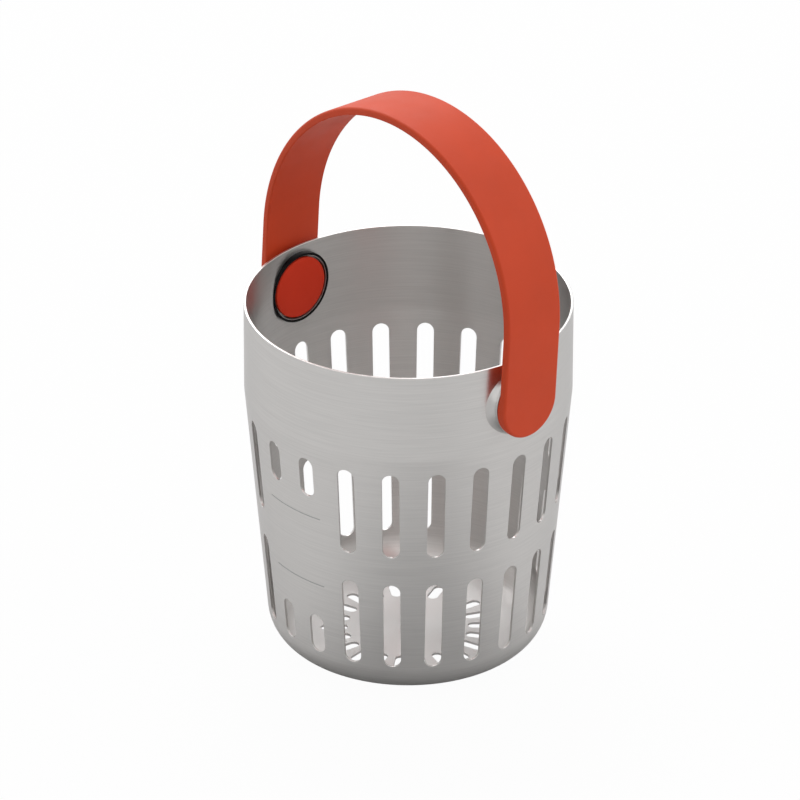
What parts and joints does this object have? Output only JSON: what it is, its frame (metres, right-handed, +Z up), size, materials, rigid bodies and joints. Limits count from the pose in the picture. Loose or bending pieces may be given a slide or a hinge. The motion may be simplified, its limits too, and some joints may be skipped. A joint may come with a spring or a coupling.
{
  "type": "slotted cooking basket",
  "caption": "Slotted deep-drawn steel cooking basket with tapered wall, rounded base and a swinging silicone-covered bail handle on two pivots.",
  "frame": {"origin": "centre of the flat base, on the axis of the basket", "axes": "+Z up along the basket's axis, X parallel to the bail's pivot axis, -Y towards the level marks"},
  "size_m": [0.1358, 0.124, 0.2215],
  "materials": {
    "shell_steel": "fine circumferential brushing, bright cut rim",
    "boss_steel": "satin turned",
    "washer_nylon": "moulded, light grey",
    "seal_rubber": "smooth, slightly glossy black",
    "core_steel": "rolled spring strip, hidden in the cover",
    "silicone": "matt moulded silicone, red-orange",
    "hardware_steel": "turned, plain"
  },
  "bodies": {
    "basket": {"basket_shell": "shell_steel", "boss_left": "boss_steel", "boss_right": "boss_steel", "friction_washer_left": "washer_nylon", "friction_washer_right": "washer_nylon", "seal_ring_left": "seal_rubber", "seal_ring_right": "seal_rubber"},
    "handle": {"handle_cover": "silicone", "handle_core": "core_steel", "pivot_stud_left": "hardware_steel", "pivot_stud_right": "hardware_steel", "retainer_disc_left": "hardware_steel", "retainer_disc_right": "hardware_steel", "retainer_screws": "hardware_steel", "pivot_cap_left": "silicone", "pivot_cap_right": "silicone"}
  },
  "joints": [
    {"name": "handle_swing", "type": "hinge", "parent": "basket", "child": "handle", "pos_m": [0, -0.0011, 0.125], "axis": [1, 0, 0], "range_deg": [-129.5, 137.5]}
  ]
}
